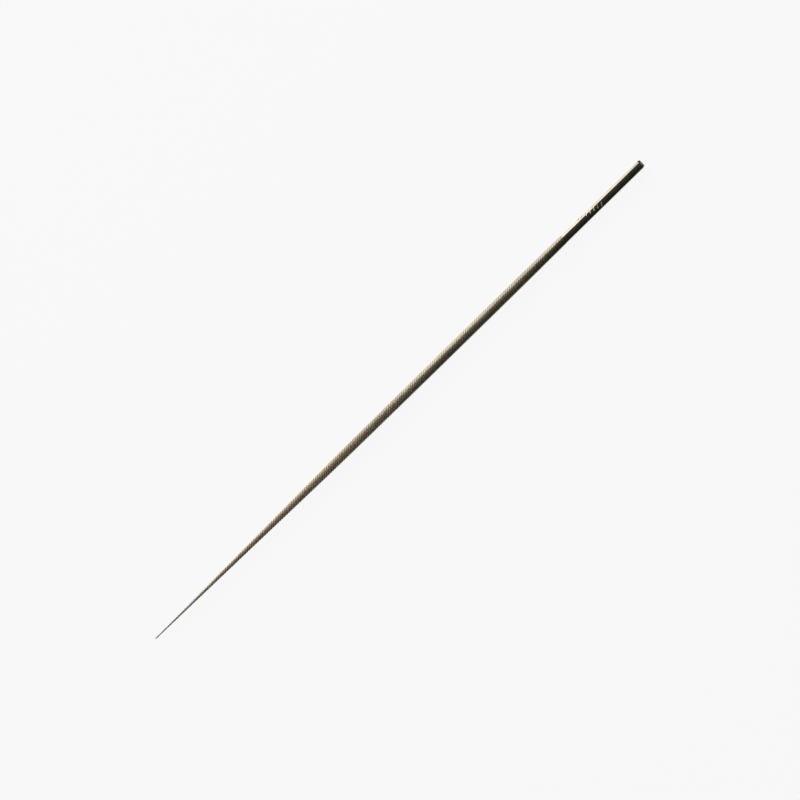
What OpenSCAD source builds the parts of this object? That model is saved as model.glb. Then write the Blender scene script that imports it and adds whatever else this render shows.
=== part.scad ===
// Slender round taper-pointed file with a plain marked shank.
// The file lies along X: the butt face is at X = 0 and the point is at +X.
// The working part carries a plain tang that is pressed into a blind socket in the shank.

/* [Overall] */
// Length from the butt face to the point
overall_length = 140; // [135:1:200]

/* [Shank] */
// Diameter of the plain shank
shank_d = 1.96; // [1.7:0.01:2]
// Length of the plain shank
shank_length = 22.6; // [20:0.1:30]
// Length of the bevel round the butt
butt_bevel_length = 0.5; // [0.2:0.05:0.8]
// Drop of the bevel from the shank's side to the flat butt face
butt_bevel_drop = 0.18; // [0.1:0.02:0.3]
// Broken edge where the shank meets the working part
edge_break = 0.04; // [0.01:0.01:0.08]

/* [Working part] */
// Diameter over the tooth crests at the thickest place
belly_d = 2.1; // [2.04:0.01:2.3]
// Distance of the thickest place from the point
belly_from_tip = 96; // [90:1:100]
// Diameter over the crests next to the shank
neck_d = 2.0; // [1.8:0.01:2.02]
// Distance from the point at which the straight taper would reach full diameter
taper_reach = 58; // [55:1:68]
// Distance from the point at which the taper starts to round off
taper_straight = 48; // [40:1:52]
// Diameter of the blunt point
tip_d = 0.3; // [0.2:0.02:0.4]

/* [Pressed joint] */
// Diameter of the tang and of its socket
tang_d = 1.0; // [0.7:0.05:1.2]
// Length of the tang
tang_length = 8; // [5:0.5:10]
// Bevel at the free end of the tang
tang_bevel = 0.15; // [0.05:0.05:0.2]
// Room left beyond the tang in the socket
socket_spare = 0.3; // [0.1:0.1:0.6]

/* [Struck mark] */
// Number of plain strokes in the mark
stroke_count = 7; // [1:1:7]
// Distance of the first stroke from the butt face
stroke_start = 12; // [12:0.1:12.2]
// Distance between strokes
stroke_pitch = 0.9; // [0.7:0.05:0.95]
// Turn of the row about the shank from one stroke to the next
stroke_turn = 14; // [0:1:20]
// Turn of the first stroke about the shank, from the top
stroke_first_turn = -16; // [-60:1:60]
// Lean of each stroke away from square to the shank
stroke_lean = 30; // [0:1:40]
// Width of the tool that cut a stroke
stroke_tool_d = 0.3; // [0.2:0.02:0.34]
// Depth of a stroke
stroke_depth = 0.12; // [0.04:0.01:0.14]

/* [Hidden] */
$fn = 64;

shank_r = shank_d / 2;
neck_r = neck_d / 2;
belly_r = belly_d / 2;
tip_r = tip_d / 2;
tang_r = tang_d / 2;

// Places along X, from the butt
shoulder_x = shank_length;
belly_x = overall_length - belly_from_tip;
dome_x = overall_length - tip_r;

// Straight side of the taper: radius at a distance from the point
function taper_radius(from_tip) = tip_r + (belly_r - tip_r) * from_tip / taper_reach;

// Steps along each curved stretch of the outline
curve_steps = 12;

// Point of a curve drawn from a to c and pulled towards b
function curve_point(a, b, c, k) = (1 - k) * (1 - k) * a + 2 * k * (1 - k) * b + k * k * c;
function curve(a, b, c) = [for (i = [0 : curve_steps]) curve_point(a, b, c, i / curve_steps)];

neck = [shoulder_x, neck_r - edge_break];
neck_top = [shoulder_x + edge_break, neck_r];
belly = [belly_x, belly_r];
neck_pull = [(neck_top.x + belly_x) / 2, belly_r];
taper_pull = [overall_length - taper_reach, belly_r];
taper_top = [overall_length - taper_straight, taper_radius(taper_straight)];

// Quarter round of the blunt point, from its side to the axis
dome = [for (a = [90 : -15 : 0]) [dome_x + tip_r * cos(a), tip_r * sin(a)]];

// Half outline of the working part, point and tang, as [along X, radius]
working_outline = concat(
    [[shoulder_x - tang_length, 0]],
    [[shoulder_x - tang_length, tang_r - tang_bevel]],
    [[shoulder_x - tang_length + tang_bevel, tang_r]],
    [[shoulder_x, tang_r], neck],
    curve(neck_top, neck_pull, belly),
    curve(belly, taper_pull, taper_top),
    dome
);

// Half outline of the plain shank
shank_outline = [
    [0, 0],
    [0, shank_r - butt_bevel_drop],
    [butt_bevel_length, shank_r],
    [shoulder_x - edge_break, shank_r],
    [shoulder_x, shank_r - edge_break],
    [shoulder_x, 0]
];

// Turns a half outline about the X axis
module turned(outline) {
    rotate([0, 90, 0])
        rotate_extrude()
            polygon([for (p = outline) [p.y, p.x]]);
}

// Blind socket for the tang, with the cone that a drill leaves
module socket() {
    socket_depth = tang_length + socket_spare;
    drill_cone = tang_r / tan(59);
    translate([shoulder_x - socket_depth, 0, 0])
        rotate([0, 90, 0]) {
            cylinder(r = tang_r, h = socket_depth + 1);
            translate([0, 0, -drill_cone])
                cylinder(r1 = 0, r2 = tang_r, h = drill_cone);
        }
}

// One shallow stroke: a round tool laid across the top of the shank
module stroke() {
    tool_r = stroke_tool_d / 2;
    translate([0, 0, shank_r + tool_r - stroke_depth])
        rotate([0, 0, -stroke_lean])
            rotate([90, 0, 0])
                cylinder(r = tool_r, h = shank_d, center = true);
}

module struck_mark() {
    for (i = [0 : stroke_count - 1])
        translate([stroke_start + i * stroke_pitch, 0, 0])
            rotate([stroke_first_turn + i * stroke_turn, 0, 0])
                stroke();
}

module working_part() {
    color([0.58, 0.53, 0.45])
        turned(working_outline);
}

module shank() {
    color([0.3, 0.29, 0.25])
        difference() {
            turned(shank_outline);
            socket();
            struck_mark();
        }
}

working_part();
shank();
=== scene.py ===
"""Slender round file: a toothed, taper-pointed blade pressed into a plain ground shank."""
import bisect
import math

import bmesh
import bpy
from mathutils import Matrix, Vector, noise


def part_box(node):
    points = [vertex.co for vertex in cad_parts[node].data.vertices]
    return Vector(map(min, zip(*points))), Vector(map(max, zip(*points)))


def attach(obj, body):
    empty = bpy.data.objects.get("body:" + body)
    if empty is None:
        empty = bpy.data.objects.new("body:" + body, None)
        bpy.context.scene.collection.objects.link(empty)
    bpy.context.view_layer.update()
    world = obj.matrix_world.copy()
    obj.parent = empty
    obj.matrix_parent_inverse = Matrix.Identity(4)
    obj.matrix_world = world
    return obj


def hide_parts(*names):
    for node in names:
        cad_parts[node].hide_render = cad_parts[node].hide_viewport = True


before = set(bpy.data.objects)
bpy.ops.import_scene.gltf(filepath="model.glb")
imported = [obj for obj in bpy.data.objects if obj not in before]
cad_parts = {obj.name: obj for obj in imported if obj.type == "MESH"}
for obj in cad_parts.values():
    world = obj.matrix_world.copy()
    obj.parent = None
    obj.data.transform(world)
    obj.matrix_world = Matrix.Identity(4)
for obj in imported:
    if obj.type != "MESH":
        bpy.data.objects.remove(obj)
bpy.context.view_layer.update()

MM = 0.001
TINY = 1e-6

# Sizes read from the frame
blade_low, blade_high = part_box("working_part")
shank_low, shank_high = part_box("shank")
TANG_END = blade_low[0]
SHOULDER = shank_high[0]
POINT = blade_high[0]
BELLY_RADIUS = blade_high[2]
SHANK_RADIUS = shank_high[2]

# Pressed joint
TANG_RADIUS = 0.5 * MM
TANG_BEVEL = 0.15 * MM
SOCKET_SPARE = 0.3 * MM
EDGE_BREAK = 0.04 * MM

# Teeth of the blade
TOOTH_PITCH = 0.635 * MM
TOOTH_DEPTH = 0.100 * MM
TOOTH_SLANT = 0.78              # travel along the file for each unit of travel round it
FULL_DEPTH_RADIUS = 0.60 * MM   # teeth are shallower where the blade is thinner than this
REAR_DEPTH_SHARE = 0.2          # the straight rear teeth are worn down to this share
FRONT_FROM = 60.0 * MM          # between these places the worn rear turns into
FRONT_TO = 82.0 * MM            # the fresh front
SHOULDER_RUN_OUT = 6.0 * MM     # the teeth fade in over this length beside the shank
POINT_RUN_OUT = 1.5 * MM        # and fade out over this length at the point
BLADE_COLUMNS = 72
BLADE_CREASE = 40.0             # edges sharper than this many degrees stay sharp
# One tooth, from its gullet towards the point: share of the pitch, share of the depth
TOOTH_OUTLINE = ((0.0, 0.0), (0.14, 0.04), (0.5, 0.47), (0.86, 1.0), (0.93, 0.97))

# How the blade's finish changes along it
PAINTED_SHADE_LENGTH = 24.0 * MM      # painted shade darkens the steel this far from the shank, dimming the highlight there
DULL_FROM = 60.0 * MM           # between these places a faint dry film comes on
DULL_TO = 100.0 * MM
THIN_FROM = 120.0 * MM          # between these places the thin end turns greyer
THIN_TO = 130.0 * MM

# Shank
BUTT_BEVEL_LENGTH = 0.5 * MM
BUTT_BEVEL_DROP = 0.18 * MM
BUTT_ROUNDING = 0.06 * MM       # the bevel's two rims are worn round over this length
SHANK_SIDES = 160
SHANK_CREASE = 32.0             # edges sharper than this many degrees stay sharp
MARKED_FROM = 11.0 * MM
MARKED_TO = 18.6 * MM
MARKED_STEP = 0.2 * MM          # closer rings here keep the shine true round the strokes
STROKE_COUNT = 7
STROKE_START = 12.0 * MM
STROKE_PITCH = 0.9 * MM
STROKE_FIRST_TURN = -16.0       # degrees about the shank from the top
STROKE_TURN = 14.0
STROKE_LEAN = 30.0
STROKE_TOOL_RADIUS = 0.15 * MM
STROKE_DEPTH = 0.12 * MM


# ---------------------------------------------------------------- working by hand

def deselect_all():
    """Leaves object mode with nothing selected."""
    if bpy.context.object and bpy.context.object.mode != "OBJECT":
        bpy.ops.object.mode_set(mode="OBJECT")
    bpy.ops.object.select_all(action="DESELECT")


def pick(piece):
    """Selects one piece alone and makes it the active one."""
    deselect_all()
    piece.select_set(True)
    bpy.context.view_layer.objects.active = piece


def settle(piece):
    """Puts the piece's place, turn and size into its mesh."""
    pick(piece)
    bpy.ops.object.transform_apply(location=True, rotation=True, scale=True)


def apply_modifiers(piece):
    """Makes the piece's modifiers part of its mesh."""
    pick(piece)
    for modifier in list(piece.modifiers):
        bpy.ops.object.modifier_apply(modifier=modifier.name)


def tidy_normals(piece):
    """Turns every face of a closed piece outwards."""
    pick(piece)
    bpy.ops.object.mode_set(mode="EDIT")
    bpy.ops.mesh.select_all(action="SELECT")
    bpy.ops.mesh.normals_make_consistent(inside=False)
    bpy.ops.object.mode_set(mode="OBJECT")


def smooth(piece, degrees):
    """Shades a piece smooth, apart from its edges sharper than the angle."""
    pick(piece)
    bpy.ops.object.shade_smooth_by_angle(angle=math.radians(degrees))


def ease(value):
    """0 below 0, 1 above 1, and a smooth step between them."""
    value = min(1.0, max(0.0, value))
    return value * value * (3.0 - 2.0 * value)


def select_ring(piece, x):
    """In edit mode, selects the open edges that lie in the plane across the file at x."""
    mesh = bmesh.from_edit_mesh(piece.data)
    bpy.ops.mesh.select_all(action="DESELECT")
    for edge in mesh.edges:
        in_plane = all(abs(vertex.co.x - x) < TINY for vertex in edge.verts)
        edge.select = in_plane and len(edge.link_faces) < 2
    bmesh.update_edit_mesh(piece.data)


def carry_ring(ring, x, radius):
    """Extrudes the selected ring to a new place and radius, and returns them."""
    old_x, old_radius = ring
    ratio = radius / old_radius
    bpy.ops.mesh.extrude_edges_move(TRANSFORM_OT_translate={"value": (x - old_x, 0.0, 0.0)})
    bpy.ops.transform.resize(value=(1.0, ratio, ratio), center_override=(x, 0.0, 0.0))
    return x, radius


def lathe(ring, outline):
    """Carries the selected ring along an outline of places and radii, and closes the end."""
    for x, radius in outline:
        ring = carry_ring(ring, x, radius)
    bpy.ops.mesh.edge_face_add()
    bpy.ops.mesh.poke()


# ---------------------------------------------------------------- blade

def read_crest_line():
    """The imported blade's half outline from the shoulder to the point: places and radii."""
    widest = {}
    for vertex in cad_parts["working_part"].data.vertices:
        radius = math.hypot(vertex.co.y, vertex.co.z)
        if vertex.co.x > SHOULDER - TINY:
            place = round(vertex.co.x, 6)
            widest[place] = max(radius, widest.get(place, 0.0))
    places = sorted(widest)
    return places, [widest[place] for place in places]


crest_places, crest_radii = read_crest_line()
# The blunt point is a half ball: it starts where the radius equals the distance left
POINT_RADIUS = next(r for x, r in zip(crest_places, crest_radii) if POINT - x <= r + TINY)
DOME = POINT - POINT_RADIUS


def crest_radius(x):
    """Radius over the tooth crests at a place along the file."""
    i = min(max(bisect.bisect_right(crest_places, x), 1), len(crest_places) - 1)
    start, end = crest_places[i - 1], crest_places[i]
    share = min(1.0, max(0.0, (x - start) / (end - start)))
    return crest_radii[i - 1] * (1.0 - share) + crest_radii[i] * share


def tooth_depth(x):
    """Depth from crest to gullet, less on the thin end and fading out at both ends."""
    fade = ease((x - SHOULDER - EDGE_BREAK) / SHOULDER_RUN_OUT) * ease((DOME - x) / POINT_RUN_OUT)
    front = ease((x - FRONT_FROM) / (FRONT_TO - FRONT_FROM))
    fullness = REAR_DEPTH_SHARE + (1.0 - REAR_DEPTH_SHARE) * front
    return TOOTH_DEPTH * min(1.0, crest_radius(x) / FULL_DEPTH_RADIUS) * fullness * fade


def unevenness(turn, place, seed):
    """Slow hand-made variation over the blade, about -1 to 1."""
    spot = Vector((place / (2.2 * MM), 1.3 * math.cos(turn), 1.3 * math.sin(turn) + seed))
    return 2.0 * noise.noise(spot)


def cut_point(row, column):
    """Where one corner of the toothed surface lies, and what the finish needs to know of it.

    That is its turn about the file, its height between gullet and crest, and its station:
    how far along the file its tooth crosses the top line.
    """
    steps = len(TOOTH_OUTLINE)
    share, height = TOOTH_OUTLINE[row % steps]
    station = FIRST_TOOTH + (row // steps + share) * TOOTH_PITCH
    turn = COLUMN_TURN * (column + 0.5) - math.pi
    slide = TOOTH_SLANT * crest_radius(station) * turn
    strike = (0.1 * noise.noise(Vector((row // steps * 0.37, turn * 0.8, 5.0)))
              + 0.03 * noise.noise(Vector((row // steps * 1.7, turn * 4.0, 9.0))))
    struck = station + slide + strike * TOOTH_PITCH
    x = min(max(struck, SHOULDER + EDGE_BREAK), DOME)
    crest = crest_radius(x)
    wear = 0.07 * (1.0 + unevenness(turn, x, 11.0)) * height
    deepness = 0.9 + 0.1 * unevenness(turn, x, 3.0)
    radius = crest - tooth_depth(x) * ((1.0 - height) * deepness + wear)
    spot = Vector((x, radius * math.sin(turn), radius * math.cos(turn)))
    if x != struck:
        height = 0.5
    return spot, turn, height, x - slide


COLUMN_TURN = 2.0 * math.pi / BLADE_COLUMNS
LONGEST_SLIDE = TOOTH_SLANT * BELLY_RADIUS * math.pi
FIRST_TOOTH = SHOULDER - LONGEST_SLIDE - TOOTH_PITCH
TOOTH_COUNT = math.ceil((POINT - FIRST_TOOTH) / TOOTH_PITCH) + 1


def roll_sheet(sheet, rows):
    """Rolls a flat grid round the file as its toothed surface, with notes for the finish."""
    mesh = bmesh.new()
    mesh.from_mesh(sheet.data)
    turn_layer = mesh.verts.layers.float.new("turn")
    height_layer = mesh.verts.layers.float.new("tooth")
    station_layer = mesh.verts.layers.float.new("station")
    ordered = {}
    for vertex in mesh.verts:
        row = round((vertex.co.x + 0.5) * (rows - 1))
        column = round((vertex.co.y + 0.5) * (BLADE_COLUMNS - 1))
        (vertex.co, vertex[turn_layer], vertex[height_layer],
         vertex[station_layer]) = cut_point(row, column)
        ordered[row, column] = vertex
    close_seam(mesh, [ordered[row, BLADE_COLUMNS - 1] for row in range(rows)],
               [ordered[row, 0] for row in range(rows)])
    bmesh.ops.remove_doubles(mesh, verts=mesh.verts, dist=0.1 * TINY)
    bmesh.ops.dissolve_degenerate(mesh, edges=mesh.edges, dist=0.1 * TINY)
    mesh.to_mesh(sheet.data)
    mesh.free()


def close_seam(mesh, near, far):
    """Joins the sheet's two long edges, whose teeth don't meet, with a band of triangles."""
    i = j = 0
    while i < len(near) - 1 or j < len(far) - 1:
        near_next = near[i + 1].co.x if i < len(near) - 1 else math.inf
        far_next = far[j + 1].co.x if j < len(far) - 1 else math.inf
        if near_next <= far_next:
            mesh.faces.new((near[i], far[j], near[i + 1]))
            i += 1
        else:
            mesh.faces.new((near[i], far[j], far[j + 1]))
            j += 1


def make_blade():
    """The toothed blade with its blunt point and the plain tang behind its shoulder."""
    rows = TOOTH_COUNT * len(TOOTH_OUTLINE)
    deselect_all()
    bpy.ops.mesh.primitive_grid_add(x_subdivisions=rows - 1, y_subdivisions=BLADE_COLUMNS - 1,
                                    size=1.0)
    blade = bpy.context.object
    blade.name = "toothed_blade"
    roll_sheet(blade, rows)

    pick(blade)
    bpy.ops.object.mode_set(mode="EDIT")
    bpy.ops.mesh.select_mode(type="EDGE")
    neck = SHOULDER + EDGE_BREAK
    select_ring(blade, neck)
    lathe((neck, crest_radius(neck)), (
        (SHOULDER, crest_radius(neck) - EDGE_BREAK),
        (SHOULDER, TANG_RADIUS),
        (TANG_END + TANG_BEVEL, TANG_RADIUS),
        (TANG_END, TANG_RADIUS - TANG_BEVEL),
    ))
    select_ring(blade, DOME)
    lathe((DOME, POINT_RADIUS), [
        (DOME + POINT_RADIUS * math.sin(math.radians(angle)),
         POINT_RADIUS * math.cos(math.radians(angle)))
        for angle in (18, 36, 54, 72, 84)
    ])
    tidy_normals(blade)
    smooth(blade, BLADE_CREASE)
    return blade


# ---------------------------------------------------------------- shank

def make_stroke_tools():
    """The round tools that cut the mark's strokes, joined as one piece."""
    tools = []
    for number in range(STROKE_COUNT):
        turn = math.radians(STROKE_FIRST_TURN + number * STROKE_TURN)
        height = SHANK_RADIUS + STROKE_TOOL_RADIUS - STROKE_DEPTH
        place = Vector((STROKE_START + number * STROKE_PITCH,
                        -height * math.sin(turn), height * math.cos(turn)))
        deselect_all()
        bpy.ops.mesh.primitive_cylinder_add(vertices=20, radius=STROKE_TOOL_RADIUS,
                                            depth=2.0 * SHANK_RADIUS)
        tool = bpy.context.object
        lean = Matrix.Rotation(math.radians(-STROKE_LEAN), 4, "Z")
        across = Matrix.Rotation(math.radians(90.0), 4, "X")
        tool.matrix_world = (Matrix.Translation(place) @ Matrix.Rotation(turn, 4, "X")
                             @ lean @ across)
        settle(tool)
        tools.append(tool)
    deselect_all()
    for tool in tools:
        tool.select_set(True)
    bpy.context.view_layer.objects.active = tools[0]
    bpy.ops.object.join()
    return tools[0]


def cut_away(piece, tool):
    """Takes the tool's shape out of the piece and discards the tool."""
    cut = piece.modifiers.new("cut", "BOOLEAN")
    cut.operation = "DIFFERENCE"
    cut.solver = "EXACT"
    cut.object = tool
    apply_modifiers(piece)
    bpy.data.objects.remove(tool, do_unlink=True)


def make_shank():
    """The plain shank, turned as one shell from its socket to its butt, with its mark."""
    front = SHOULDER - EDGE_BREAK
    deselect_all()
    bpy.ops.mesh.primitive_circle_add(vertices=SHANK_SIDES, radius=SHANK_RADIUS,
                                      location=(front, 0.0, 0.0),
                                      rotation=(0.0, math.radians(90.0), 0.0))
    shank = bpy.context.object
    shank.name = "ground_shank"
    settle(shank)
    bpy.ops.object.mode_set(mode="EDIT")
    bpy.ops.mesh.select_mode(type="EDGE")

    socket_end = TANG_END - SOCKET_SPARE
    select_ring(shank, front)
    lathe((front, SHANK_RADIUS), (
        (SHOULDER, SHANK_RADIUS - EDGE_BREAK),
        (SHOULDER, TANG_RADIUS),
        (socket_end, TANG_RADIUS),
        (socket_end - 0.5 * TANG_RADIUS, 0.1 * TANG_RADIUS),
    ))
    ring_count = round((MARKED_TO - MARKED_FROM) / MARKED_STEP)
    marked_rings = [(MARKED_TO - i * MARKED_STEP, SHANK_RADIUS) for i in range(ring_count + 1)]
    slope = BUTT_BEVEL_DROP / BUTT_BEVEL_LENGTH
    face_radius = SHANK_RADIUS - BUTT_BEVEL_DROP
    butt_rings = [
        (BUTT_BEVEL_LENGTH + BUTT_ROUNDING, SHANK_RADIUS),
        (BUTT_BEVEL_LENGTH, SHANK_RADIUS - 0.25 * slope * BUTT_ROUNDING),
        (BUTT_BEVEL_LENGTH - BUTT_ROUNDING, SHANK_RADIUS - slope * BUTT_ROUNDING),
        (0.8 * BUTT_ROUNDING, face_radius + 0.8 * slope * BUTT_ROUNDING),
        (0.25 * BUTT_ROUNDING, face_radius - 0.1 * BUTT_ROUNDING),
        (0.0, face_radius - 0.6 * BUTT_ROUNDING),
        (0.0, 0.3 * face_radius),
    ]
    select_ring(shank, front)
    lathe((front, SHANK_RADIUS), marked_rings + butt_rings)
    tidy_normals(shank)
    cut_away(shank, make_stroke_tools())
    smooth(shank, SHANK_CREASE)
    return shank


# ---------------------------------------------------------------- finishes

class Value:
    """A node's output socket that can be used in sums."""

    def __init__(self, wiring, socket):
        self.wiring = wiring
        self.socket = socket

    def sum(self, operation, *terms):
        values = dict(zip(("Value", "Value_001", "Value_002"), terms))
        return self.wiring.node("ShaderNodeMath", {"operation": operation}, values)

    def __add__(self, other):
        return self.sum("ADD", self, other)

    def __radd__(self, other):
        return self.sum("ADD", other, self)

    def __sub__(self, other):
        return self.sum("SUBTRACT", self, other)

    def __rsub__(self, other):
        return self.sum("SUBTRACT", other, self)

    def __mul__(self, other):
        return self.sum("MULTIPLY", self, other)

    def __rmul__(self, other):
        return self.sum("MULTIPLY", other, self)

    def size(self):
        """The value without its sign."""
        return self.sum("ABSOLUTE", self)


class Wiring:
    """The nodes of one material or of the world, added one at a time."""

    def __init__(self, owner):
        owner.use_nodes = True
        self.tree = owner.node_tree
        self.tree.nodes.clear()

    def node(self, kind, settings=None, values=None, output=0):
        """Adds a node with its settings, fills its sockets, and gives back one output."""
        node = self.tree.nodes.new(kind)
        for name, setting in (settings or {}).items():
            if name == "stops":
                self.set_stops(node.color_ramp, setting)
            else:
                setattr(node, name, setting)
        for name, value in (values or {}).items():
            socket = next(s for s in node.inputs if name in (s.identifier, s.name))
            if isinstance(value, Value):
                self.tree.links.new(value.socket, socket)
            else:
                socket.default_value = value
        return Value(self, node.outputs[output]) if len(node.outputs) else node

    @staticmethod
    def set_stops(ramp, stops):
        """Gives a colour ramp its stops, each a position and a colour."""
        while len(ramp.elements) < len(stops):
            ramp.elements.new(0.5)
        for element, (position, shade) in zip(ramp.elements, stops):
            element.position = position
            element.color = shade

    def blend(self, share, first, second):
        """A colour between two others."""
        return self.node("ShaderNodeMix", {"data_type": "RGBA"},
                         {"Factor_Float": share, "A_Color": first, "B_Color": second}, 2)

    def ramp(self, value, *stops):
        """A grey scale: each stop is a value and its brightness."""
        grey = [(at, (level, level, level, 1.0)) for at, level in stops]
        return self.node("ShaderNodeValToRGB", {"stops": grey}, {"Fac": value})

    def tint(self, base, shade):
        """A colour darkened by another."""
        return self.node("ShaderNodeMix", {"data_type": "RGBA", "blend_type": "MULTIPLY"},
                         {"Factor_Float": 1.0, "A_Color": base, "B_Color": shade}, 2)

    def between(self, value, start, end):
        """0 before the start, 1 past the end, and even steps between them."""
        return self.ramp((value - start) * (1.0 / (end - start)), (0.0, 0.0), (1.0, 1.0))

    def noted(self, name):
        """A number that the piece's mesh holds for each of its corners."""
        return self.node("ShaderNodeAttribute", {"attribute_name": name}, output=2)

    def parts(self, vector):
        """A vector's three numbers."""
        first = self.node("ShaderNodeSeparateXYZ", None, {"Vector": vector})
        return [Value(self, socket) for socket in first.socket.node.outputs]

    def stretch(self, vector, amount):
        """A vector multiplied along each axis."""
        return self.node("ShaderNodeMapping", None, {"Vector": vector, "Scale": amount})

    def place(self, amount):
        """The piece's own place, stretched along each axis."""
        return self.stretch(self.node("ShaderNodeTexCoord", output=3), amount)

    def grain(self, vector, scale, detail=3.0, roughness=0.55):
        """Cloudy noise between 0 and 1."""
        return self.node("ShaderNodeTexNoise", None, {
            "Vector": vector, "Scale": scale, "Detail": detail, "Roughness": roughness})


def colour(red, green, blue):
    """A solid colour with its alpha."""
    return (red, green, blue, 1.0)


def finish_metal(wiring, base, metallic, roughness, height, bump_distance, bump_strength):
    """A metal surface from its colour, how clean and how rough it is, and its fine relief."""
    relief = wiring.node("ShaderNodeBump", None, {
        "Height": height, "Distance": bump_distance, "Strength": bump_strength})
    surface = wiring.node("ShaderNodeBsdfPrincipled", None, {
        "Metallic": metallic, "Base Color": base, "Roughness": roughness, "Normal": relief})
    wiring.node("ShaderNodeOutputMaterial", None, {"Surface": surface})


def cut_steel():
    """Steel as the chisel left it: bright worn crests, lined flanks and dull brown gullets."""
    material = bpy.data.materials.new("cut_steel")
    wiring = Wiring(material)
    tooth = wiring.noted("tooth")
    along_tooth = wiring.node("ShaderNodeCombineXYZ", None, {
        "X": wiring.noted("station") * (1.0 / MM), "Y": wiring.noted("turn")})
    here = wiring.place((1.0, 1.0, 1.0))
    along = wiring.parts(here)[0]

    chatter = wiring.grain(wiring.stretch(along_tooth, (30.0, 1.6, 1.0)), 1.0, 4.0, 0.6)
    patches = wiring.grain(wiring.place((0.25, 1.0, 1.0)), 900.0)
    grit = wiring.grain(here, 9000.0, 6.0, 0.7)
    stain = wiring.ramp(wiring.grain(here, 4200.0, 6.0, 0.7), (0.55, 0.0), (0.72, 1.0))

    front = wiring.between(along, FRONT_FROM, FRONT_TO)
    dull = wiring.between(along, DULL_FROM, DULL_TO)
    shoulder = wiring.between(along, SHOULDER, SHOULDER + 2.0 * SHOULDER_RUN_OUT)
    shade_fade = wiring.between(along, SHOULDER, SHOULDER + PAINTED_SHADE_LENGTH)
    thin = wiring.between(along, THIN_FROM, THIN_TO)
    crest = wiring.ramp(tooth * 0.85 + grit * 0.2 + chatter * 0.15, (0.4, 0.0), (1.0, 1.0))
    edge = wiring.ramp(tooth + grit * 0.3 - 0.15, (0.82, 0.0), (0.96, 1.0))

    worn_gullet = wiring.blend(patches, colour(0.50, 0.44, 0.355), colour(0.61, 0.545, 0.45))
    fresh_gullet = wiring.blend(patches, colour(0.48, 0.40, 0.30), colour(0.64, 0.55, 0.43))
    worn_crest = wiring.blend(patches, colour(0.70, 0.62, 0.525), colour(0.82, 0.735, 0.63))
    fresh_crest = wiring.blend(patches, colour(0.84, 0.75, 0.61), colour(0.94, 0.86, 0.73))
    base = wiring.blend(crest, wiring.blend(front, worn_gullet, fresh_gullet),
                        wiring.blend(front, worn_crest, fresh_crest))
    lines = wiring.ramp(chatter, (0.25, 0.84), (0.75, 1.0))
    tarnish = wiring.blend(stain, colour(1.0, 1.0, 1.0), colour(0.80, 0.74, 0.66))
    # painted shade: the colour is darkened next to the shank and fades back over the shaded
    # length, which dims the highlight there
    painted_shade = wiring.ramp(shade_fade, (0.0, 0.76), (1.0, 1.0))
    base = wiring.tint(wiring.tint(wiring.tint(base, lines), tarnish), painted_shade)
    base = wiring.blend(thin, base, wiring.tint(colour(0.78, 0.77, 0.74), lines))

    roughness = (0.32 + shoulder * 0.18 + front * 0.19 + grit * 0.08 + stain * 0.06
                 - crest * 0.04 - edge * (0.08 + front * 0.14))
    metallic = 1.0 - dull * (0.14 - edge * 0.10)
    relief = grit * 0.5 + chatter * 0.7
    finish_metal(wiring, base, metallic, roughness, relief, 0.012 * MM, 0.7)
    return material


def ground_steel():
    """Bright ground steel with wheel lines, scratches and spots, rougher inside the strokes and
    painted paler there, a painted highlight that makes them glint.
    """
    material = bpy.data.materials.new("ground_steel")
    wiring = Wiring(material)
    wheel_lines = wiring.grain(wiring.place((40.0, 0.6, 0.6)), 700.0, 4.0, 0.7)
    rub_lines = wiring.grain(wiring.place((0.06, 1.0, 1.0)), 9000.0, 3.0, 0.6)
    flats = wiring.grain(wiring.place((0.15, 1.0, 1.0)), 600.0, 1.0)
    spots = wiring.ramp(wiring.grain(wiring.place((0.5, 1.0, 1.0)), 3800.0, 5.0, 0.65),
                        (0.64, 0.0), (0.74, 1.0))
    patches = wiring.ramp(wiring.grain(wiring.place((0.4, 1.0, 1.0)), 1100.0),
                          (0.3, 0.0), (0.7, 1.0))
    base = wiring.blend(patches, colour(0.41, 0.385, 0.345), colour(0.585, 0.56, 0.51))
    lines = wiring.ramp(wheel_lines, (0.3, 0.90), (0.7, 1.0))
    tarnish = wiring.blend(spots, colour(1.0, 1.0, 1.0), colour(0.66, 0.60, 0.52))
    base = wiring.tint(wiring.tint(base, lines), tarnish)
    roughness = 0.07 + patches * 0.10 + rub_lines * 0.08 + wheel_lines * 0.04 + spots * 0.2

    along, across, up = wiring.parts(wiring.place((1.0, 1.0, 1.0)))
    sunk = SHANK_RADIUS * SHANK_RADIUS - across * across - up * up
    stroke_floor = STROKE_DEPTH * SHANK_RADIUS
    struck = (wiring.between(sunk, 0.02 * stroke_floor, 0.3 * stroke_floor)
              * wiring.between(along, MARKED_FROM, MARKED_FROM + MARKED_STEP)
              * wiring.between(along, MARKED_TO, MARKED_TO - MARKED_STEP))
    # painted highlight: the strokes' insides are painted pale so that they glint against the dark
    # side, and are made rougher as struck steel
    base = wiring.blend(struck, base, colour(0.95, 0.91, 0.84))
    roughness = roughness + struck * 0.18
    relief = wheel_lines * 0.16 + rub_lines * 0.12 + flats * 0.8
    finish_metal(wiring, base, 1.0, roughness, relief, 0.02 * MM, 0.5)
    return material


def dress(piece, material, node):
    """Gives a finished piece its material and its place in the frame."""
    piece.data.materials.clear()
    piece.data.materials.append(material)
    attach(piece, "root")
    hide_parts(node)


# ---------------------------------------------------------------- studio

LENGTH = POINT
VIEW_TURN = 135.63              # turn of the view about the upright, in degrees
AIM = (0.5 * LENGTH - 0.29 * MM, 0.08 * MM)
CAMERA_HEIGHT = 0.8
SENSOR_WIDTH = 36.0
VIEW_SHARE = 0.8504             # share of the view's width that the file's length takes


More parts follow.
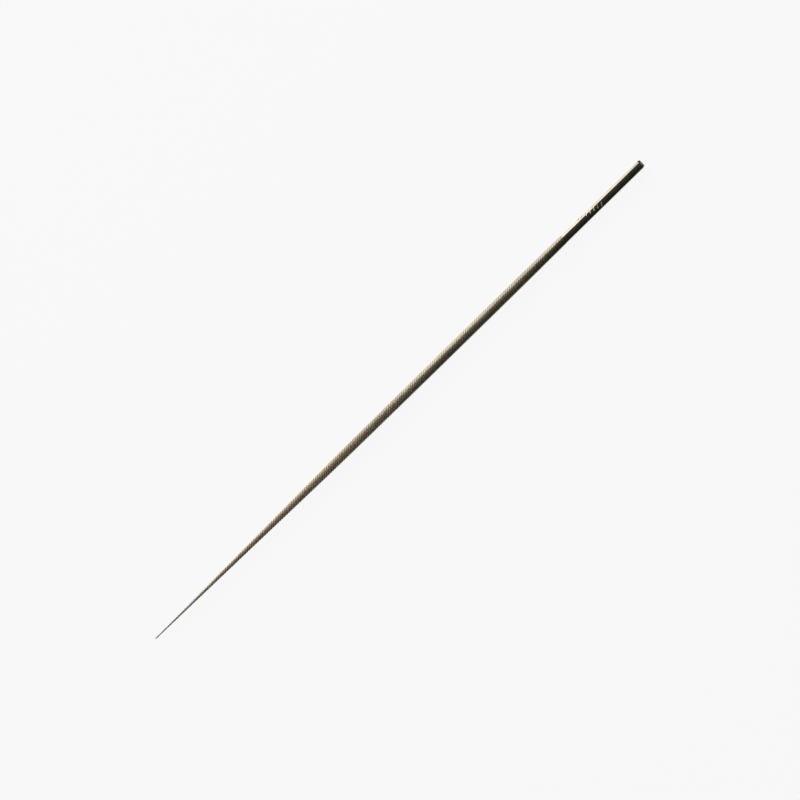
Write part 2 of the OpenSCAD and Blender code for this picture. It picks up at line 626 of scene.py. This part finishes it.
def set_camera():
    """Looks straight down, with the file rising from lower left to upper right."""
    camera = bpy.data.cameras.new("camera")
    camera.sensor_width = SENSOR_WIDTH
    camera.lens = SENSOR_WIDTH * CAMERA_HEIGHT * VIEW_SHARE / LENGTH
    camera.clip_start = 0.01
    camera.clip_end = 20.0
    holder = bpy.data.objects.new("camera", camera)
    holder.location = (*AIM, CAMERA_HEIGHT)
    holder.rotation_euler = (0.0, 0.0, math.radians(VIEW_TURN))
    bpy.context.scene.collection.objects.link(holder)
    bpy.context.scene.camera = holder


def lay_floor():
    """A wide pale floor under the file, which gives a little light of its own."""
    deselect_all()
    bpy.ops.mesh.primitive_plane_add(size=8.0, location=(0.5 * LENGTH, 0.0, -BELLY_RADIUS))
    floor = bpy.context.object
    floor.name = "floor"
    material = bpy.data.materials.new("pale_floor")
    wiring = Wiring(material)
    cloud = wiring.grain(wiring.place((1.0, 1.0, 1.0)), 2.0)
    base = wiring.blend(cloud, colour(0.030, 0.030, 0.031), colour(0.034, 0.034, 0.035))
    surface = wiring.node("ShaderNodeBsdfPrincipled", None, {
        "Base Color": base, "Roughness": 0.9, "Specular IOR Level": 0.0,
        "Emission Color": colour(1.0, 1.0, 1.0), "Emission Strength": 0.917})
    wiring.node("ShaderNodeOutputMaterial", None, {"Surface": surface})
    floor.data.materials.append(material)
    floor.visible_glossy = False


def surround():
    """A studio that is bright and warm on one side of the file and dim on the other."""
    world = bpy.data.worlds.new("studio")
    bpy.context.scene.world = world
    wiring = Wiring(world)
    along, across, up = wiring.parts(wiring.node("ShaderNodeTexCoord", output=0))
    edge = math.radians(55.0)
    panel = wiring.ramp(0.5 - 0.5 * (across * math.cos(edge) + up * math.sin(edge)),
                        (0.49, 0.0), (0.56, 1.0))
    side = wiring.ramp(0.5 - 0.5 * across, (0.5, 0.0), (0.54, 1.0))
    end = wiring.ramp(0.5 + 0.5 * along, (0.36, 0.0), (0.44, 1.0))
    lit = panel * side * end
    dim = wiring.blend(wiring.ramp(0.5 - 0.5 * across, (0.0, 0.0), (0.6, 1.0)),
                       colour(0.015, 0.020, 0.0145), colour(0.068, 0.062, 0.046))
    far = wiring.ramp(0.5 + 0.5 * along, (0.82, 0.0), (0.91, 1.0))
    far = far * wiring.ramp(0.5 + 0.5 * up, (0.42, 0.0), (0.5, 1.0))
    far = far * wiring.ramp(0.5 - 0.5 * across, (0.35, 0.0), (0.5, 1.0))
    bright = wiring.blend(wiring.ramp(0.5 - 0.5 * up, (0.45, 0.0), (0.7, 1.0)),
                          colour(1.5, 1.41, 1.28), colour(1.8, 1.74, 1.64))
    ends = (wiring.ramp(along.size(), (0.62, 0.0), (0.72, 1.0))
            * wiring.ramp(0.5 + 0.5 * up, (0.42, 0.0), (0.5, 1.0)))
    dim = wiring.blend(ends, dim, colour(0.36, 0.35, 0.33))
    below = wiring.ramp(0.0 - up, (0.42, 0.0), (0.8, 1.0))
    dim = wiring.blend(below, dim, colour(0.92, 0.92, 0.90))
    seen = wiring.blend(lit, wiring.blend(far, dim, colour(1.0, 0.96, 0.88)), bright)
    path = wiring.node("ShaderNodeLightPath")
    shade = wiring.blend(path, seen, colour(0.93, 0.93, 0.93))
    glow = wiring.node("ShaderNodeBackground", None, {"Color": shade, "Strength": 1.0})
    wiring.node("ShaderNodeOutputWorld", None, {"Surface": glow})


def add_soft_light(name, place, size, power, tint, mirrored=True):
    """A square light aimed at the file; one that isn't mirrored lights only dull surfaces."""
    light = bpy.data.lights.new(name, "AREA")
    light.size = size
    light.energy = power
    light.color = tint
    holder = bpy.data.objects.new(name, light)
    holder.location = place
    aim = Vector((0.5 * LENGTH, 0.0, 0.0)) - Vector(place)
    holder.rotation_euler = aim.to_track_quat("-Z", "Y").to_euler()
    holder.visible_glossy = mirrored
    holder.visible_camera = False
    bpy.context.scene.collection.objects.link(holder)


set_camera()
lay_floor()
surround()
add_soft_light("window_light", (0.10, -0.60, 0.24), 0.40, 0.5, (1.0, 0.94, 0.86))
add_soft_light("fill_light", (0.07, -0.78, 0.42), 0.50, 7.5, (1.0, 0.95, 0.88), mirrored=False)
bpy.context.scene.view_settings.view_transform = "Standard"

dress(make_blade(), cut_steel(), "working_part")
dress(make_shank(), ground_steel(), "shank")
